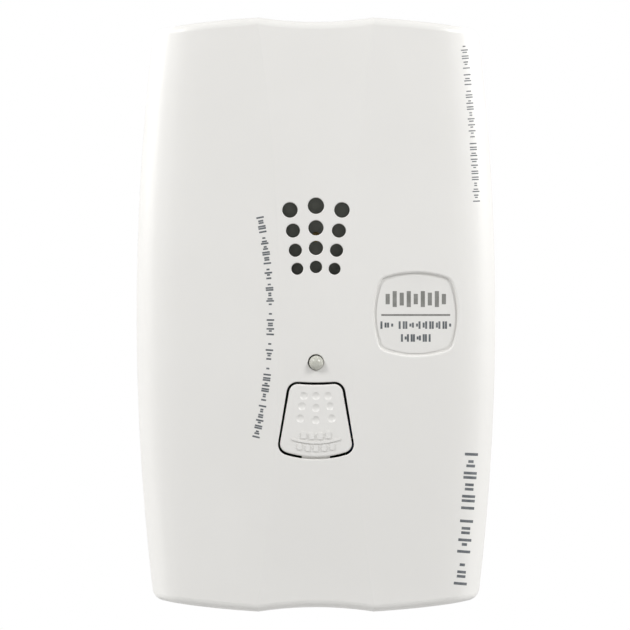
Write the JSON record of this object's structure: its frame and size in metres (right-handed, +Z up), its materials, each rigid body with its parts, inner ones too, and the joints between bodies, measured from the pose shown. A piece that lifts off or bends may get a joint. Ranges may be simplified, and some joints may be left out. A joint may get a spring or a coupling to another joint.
{
  "type": "carbon monoxide detector",
  "caption": "Wall-mounted carbon monoxide detector with a waisted grooved face, sounder grille, status light, hinged test button and wall-box mounting plate.",
  "frame": {"origin": "centre of the mounting plate's back face, on the wall plane, midway between the two wall-box screw holes", "axes": "+Z up, +Y into the wall, +X to the right of a person who faces the detector"},
  "size_m": [0.077, 0.0329, 0.127],
  "materials": {
    "cover_plastic": "fine matt moulded texture, warm white",
    "housing_plastic": "fine matt moulded texture, warm white",
    "label_film": "printed white film",
    "rating_film": "printed silver-white film",
    "plate_steel": "zinc-plated folded sheet",
    "screw_steel": "zinc plated",
    "board_laminate": "green solder resist over glass laminate",
    "sounder_plastic": "satin black",
    "disc_brass": "bright",
    "disc_ceramic": "silvered",
    "gasket_foam": "closed-cell foam",
    "lens_epoxy": "milky clear",
    "spacer_nylon": "natural nylon",
    "lead_tin": "tinned",
    "switch_plastic": "satin black",
    "switch_steel": "pressed sheet",
    "sensor_steel": "drawn and crimped",
    "seal_polymer": "white",
    "electrode_carbon": "black membrane",
    "relay_plastic": "blue",
    "chip_epoxy": "moulded black",
    "capacitor_aluminium": "satin with a dark band",
    "capacitor_plastic": "black",
    "chip_ceramic_dark": "dark with tinned ends",
    "chip_ceramic_tan": "tan with tinned ends",
    "ferrite": "pressed ferrite",
    "coil_copper": "enamelled copper wire",
    "header_plastic": "natural nylon"
  },
  "bodies": {
    "detector": {"front_cover": "cover_plastic", "button_hinge_web": "cover_plastic", "name_label": "label_film", "rear_housing": "housing_plastic", "rating_label": "rating_film", "mounting_plate": "plate_steel", "locking_screw": "screw_steel", "case_screws": "screw_steel", "board_screws": "screw_steel", "main_board": "board_laminate", "sounder_base": "sounder_plastic", "sounder_case": "sounder_plastic", "sounder_disc": "disc_brass", "sounder_ceramic": "disc_ceramic", "sounder_pins": "lead_tin", "sounder_gasket": "gasket_foam", "led_lens": "lens_epoxy", "led_leads": "lead_tin", "led_spacer": "spacer_nylon", "switch_base": "switch_plastic", "switch_frame": "switch_steel", "switch_legs": "lead_tin", "co_sensor_can": "sensor_steel", "co_sensor_cap": "sensor_steel", "co_sensor_seal": "seal_polymer", "co_sensor_electrode": "electrode_carbon", "co_sensor_straps": "lead_tin", "sensor_saddles": "seal_polymer", "relay_pins": "lead_tin", "alarm_relay": "relay_plastic", "trouble_relay": "relay_plastic", "mcu_body": "chip_epoxy", "mcu_leads": "lead_tin", "regulator_body": "chip_epoxy", "regulator_leads": "lead_tin", "capacitor_cans": "capacitor_aluminium", "capacitor_bases": "capacitor_plastic", "chip_resistors": "chip_ceramic_dark", "chip_capacitors": "chip_ceramic_tan", "diode_bodies": "chip_epoxy", "transistor_bodies": "chip_epoxy", "sounder_coil": "ferrite", "coil_winding": "coil_copper", "crystal_can": "sensor_steel", "header_shroud": "header_plastic", "header_pins": "lead_tin"},
    "test_button": {"test_reset_button": "cover_plastic"},
    "plunger": {"switch_plunger": "switch_plastic"}
  },
  "joints": [
    {"name": "button_press", "type": "hinge", "parent": "detector", "child": "test_button", "pos_m": [0, -0.03, -0.03065], "axis": [-1, 0, 0], "range_deg": [0, 3], "stiffness_Nm_per_rad": 0.86, "deforming": ["button_hinge_web"]},
    {"name": "plunger_slide", "type": "slide", "parent": "detector", "child": "plunger", "axis": [0, 1, 0], "range_m": [0, 0.00026]}
  ],
  "couplings": [
    {"joint": "plunger_slide", "follows": "button_press", "m_per_rad": 0.004775}
  ]
}
